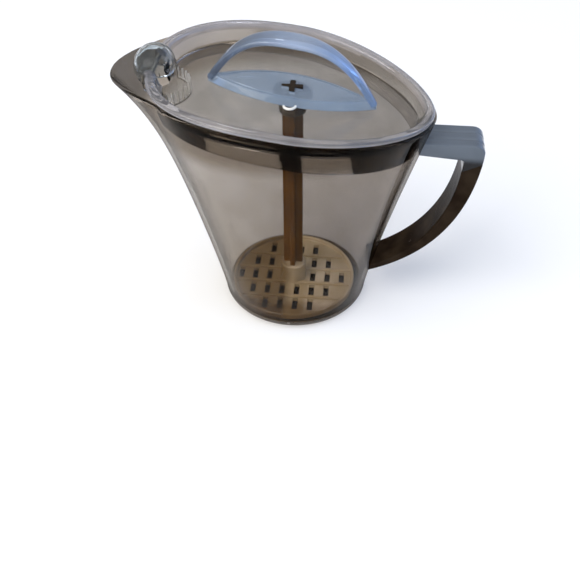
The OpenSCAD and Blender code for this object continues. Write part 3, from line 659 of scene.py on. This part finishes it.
for i in range(-4, 5):
    for j in range(-2, 3):
        x, y = (i + 0.35) * COLUMN, j * ROW
        far = math.hypot(abs(x) + HOLE_WIDE / 2, abs(y) + HOLE_LONG / 2)
        near = math.hypot(max(0, abs(x) - HOLE_WIDE / 2), max(0, abs(y) - HOLE_LONG / 2))
        if far < DISC_RADIUS - RIM_WALL - 0.5 and near > HUB_R + 0.5:
            made = bmesh.ops.create_cube(holes, size=1)["verts"]
            bmesh.ops.scale(holes, verts=made, vec=(HOLE_WIDE * MM, HOLE_LONG * MM, 8 * MM))
            bmesh.ops.translate(holes, verts=made, vec=(x * MM, y * MM, DISC_Z * MM))
# The disc's tint is painted darker over its left half and its near edge, as shade, which leaves the right of the hub
# lighter.
disc_san_painted_shade = clear_moulding("smoky_brown_SAN_grid_painted_shade", "#eadabd", "#cdb994", gloss=(0.04, 0.14), clear=0.45,
                           wave=5, sink=0.14, lamp=0.5, shine="#ffffff",
                           fades=(("X", 2, -8, "#a8997f"), ("Y", -20, -36, "#b3a184")))
disc_skin = carved(wrapped(disc_rows, 192), [
    holes, cross_prism(ROD_WIDE + 0.1, ROD_ARM + 0.1, DISC_Z + DISC_THICK, DISC_Z + DISC_THICK + HUB_HIGH + 2)])
finished(disc_skin, "press_disc_grid", [disc_san_painted_shade], "plunger", ["press_disc"])
ribs = bmesh.new()
for j in (-1.5, -0.5, 0.5, 1.5):
    half = math.sqrt((DISC_RADIUS - 1.5) ** 2 - (abs(j) * ROW + RIB_WIDE) ** 2)
    made = bmesh.ops.create_cube(ribs, size=1)["verts"]
    bmesh.ops.scale(ribs, verts=made, vec=(2 * half * MM, RIB_WIDE * MM, (RIB_HIGH + 0.6) * MM))
    bmesh.ops.translate(ribs, verts=made, vec=(0, j * ROW * MM, (DISC_Z + DISC_THICK + RIB_HIGH / 2 - 0.3) * MM))
bmesh.ops.bevel(ribs, geom=list(ribs.edges), offset=0.35 * MM, segments=2, profile=0.5, affect="EDGES", material=-1)
finished(ribs, "press_disc_ribs", [disc_san_painted_shade], "plunger", ["press_disc"])

# The stage: a plain pale floor, a soft key from the front left, a cool window light from the right, a small
# high lamp behind, and the camera at the photograph's place.
floor_mesh = bmesh.new()
bmesh.ops.create_grid(floor_mesh, x_segments=1, y_segments=1, size=3)
floor_data = bpy.data.meshes.new("floor")
floor_mesh.to_mesh(floor_data)
floor_mesh.free()
floor = bpy.data.objects.new("floor", floor_data)
bpy.context.collection.objects.link(floor)
paper = bpy.data.materials.new("white_paper_sweep")
paper.use_nodes = True
paper.node_tree.nodes["Principled BSDF"].inputs["Base Color"].default_value = linear("#f4f4f3")
paper.node_tree.nodes["Principled BSDF"].inputs["Roughness"].default_value = 0.9
floor_data.materials.append(paper)


def lamp(name, place, target, size, watts, colour):
    light = bpy.data.lights.new(name, "AREA")
    light.shape, light.size, light.size_y = "RECTANGLE", size[0], size[1]
    light.energy, light.color = watts, linear(colour)[:3]
    holder = bpy.data.objects.new(name, light)
    holder.location = place
    holder.rotation_euler = (Vector(target) - Vector(place)).to_track_quat("-Z", "Y").to_euler()
    bpy.context.collection.objects.link(holder)


lamp("key_softbox", (-0.9, -0.9, 1.5), (0, 0, 0.1), (1.4, 1.4), 26, "#fffaf4")
lamp("blue_window_right", (1.3, 0.45, 0.75), (0.04, 0, 0.15), (0.6, 0.5), 3, "#a9c8ff")
lamp("high_window", (-0.06, 1.1, 1.05), (0, 0, 0), (0.14, 0.14), 0.3, "#f4f8ff")
world = bpy.data.worlds.new("soft_room")
world.use_nodes = True
sky = world.node_tree.nodes["Background"]
toward = add(world, "SeparateXYZ", {"Vector": add(world, "TexCoord", {}).outputs["Generated"]})
deep = add(world, "MapRange", {"Value": toward.outputs["Y"], "From Min": -0.1, "From Max": 0.7},
           interpolation_type="SMOOTHSTEP")
walls = add(world, "MixRGB", {"Fac": deep.outputs["Result"], "Color1": linear("#fbfbfb"), "Color2": linear("#8d8a86")})
right = add(world, "MapRange", {"Value": toward.outputs["X"], "From Min": 0.2, "From Max": 0.7},
            interpolation_type="SMOOTHSTEP")
day = add(world, "MixRGB", {"Fac": right.outputs["Result"], "Color1": walls.outputs["Color"], "Color2": linear("#b4ccf5")})
world.node_tree.links.new(day.outputs["Color"], sky.inputs["Color"])
sky.inputs["Strength"].default_value = 1.15
bpy.context.scene.world = world
bpy.context.scene.view_settings.view_transform = "Standard"

camera = bpy.data.cameras.new("camera")
camera.lens, camera.sensor_width = 52.76, 36
holder = bpy.data.objects.new("camera", camera)
holder.location = (0.04561, -0.46260, 0.42044)
look = Vector((0.00681, -0.09108, 0.075)) - holder.location
roll = Matrix.Rotation(math.radians(-0.57), 3, "Z").to_quaternion()
holder.rotation_euler = (look.to_track_quat("-Z", "Y") @ roll).to_euler()
bpy.context.collection.objects.link(holder)
bpy.context.scene.camera = holder
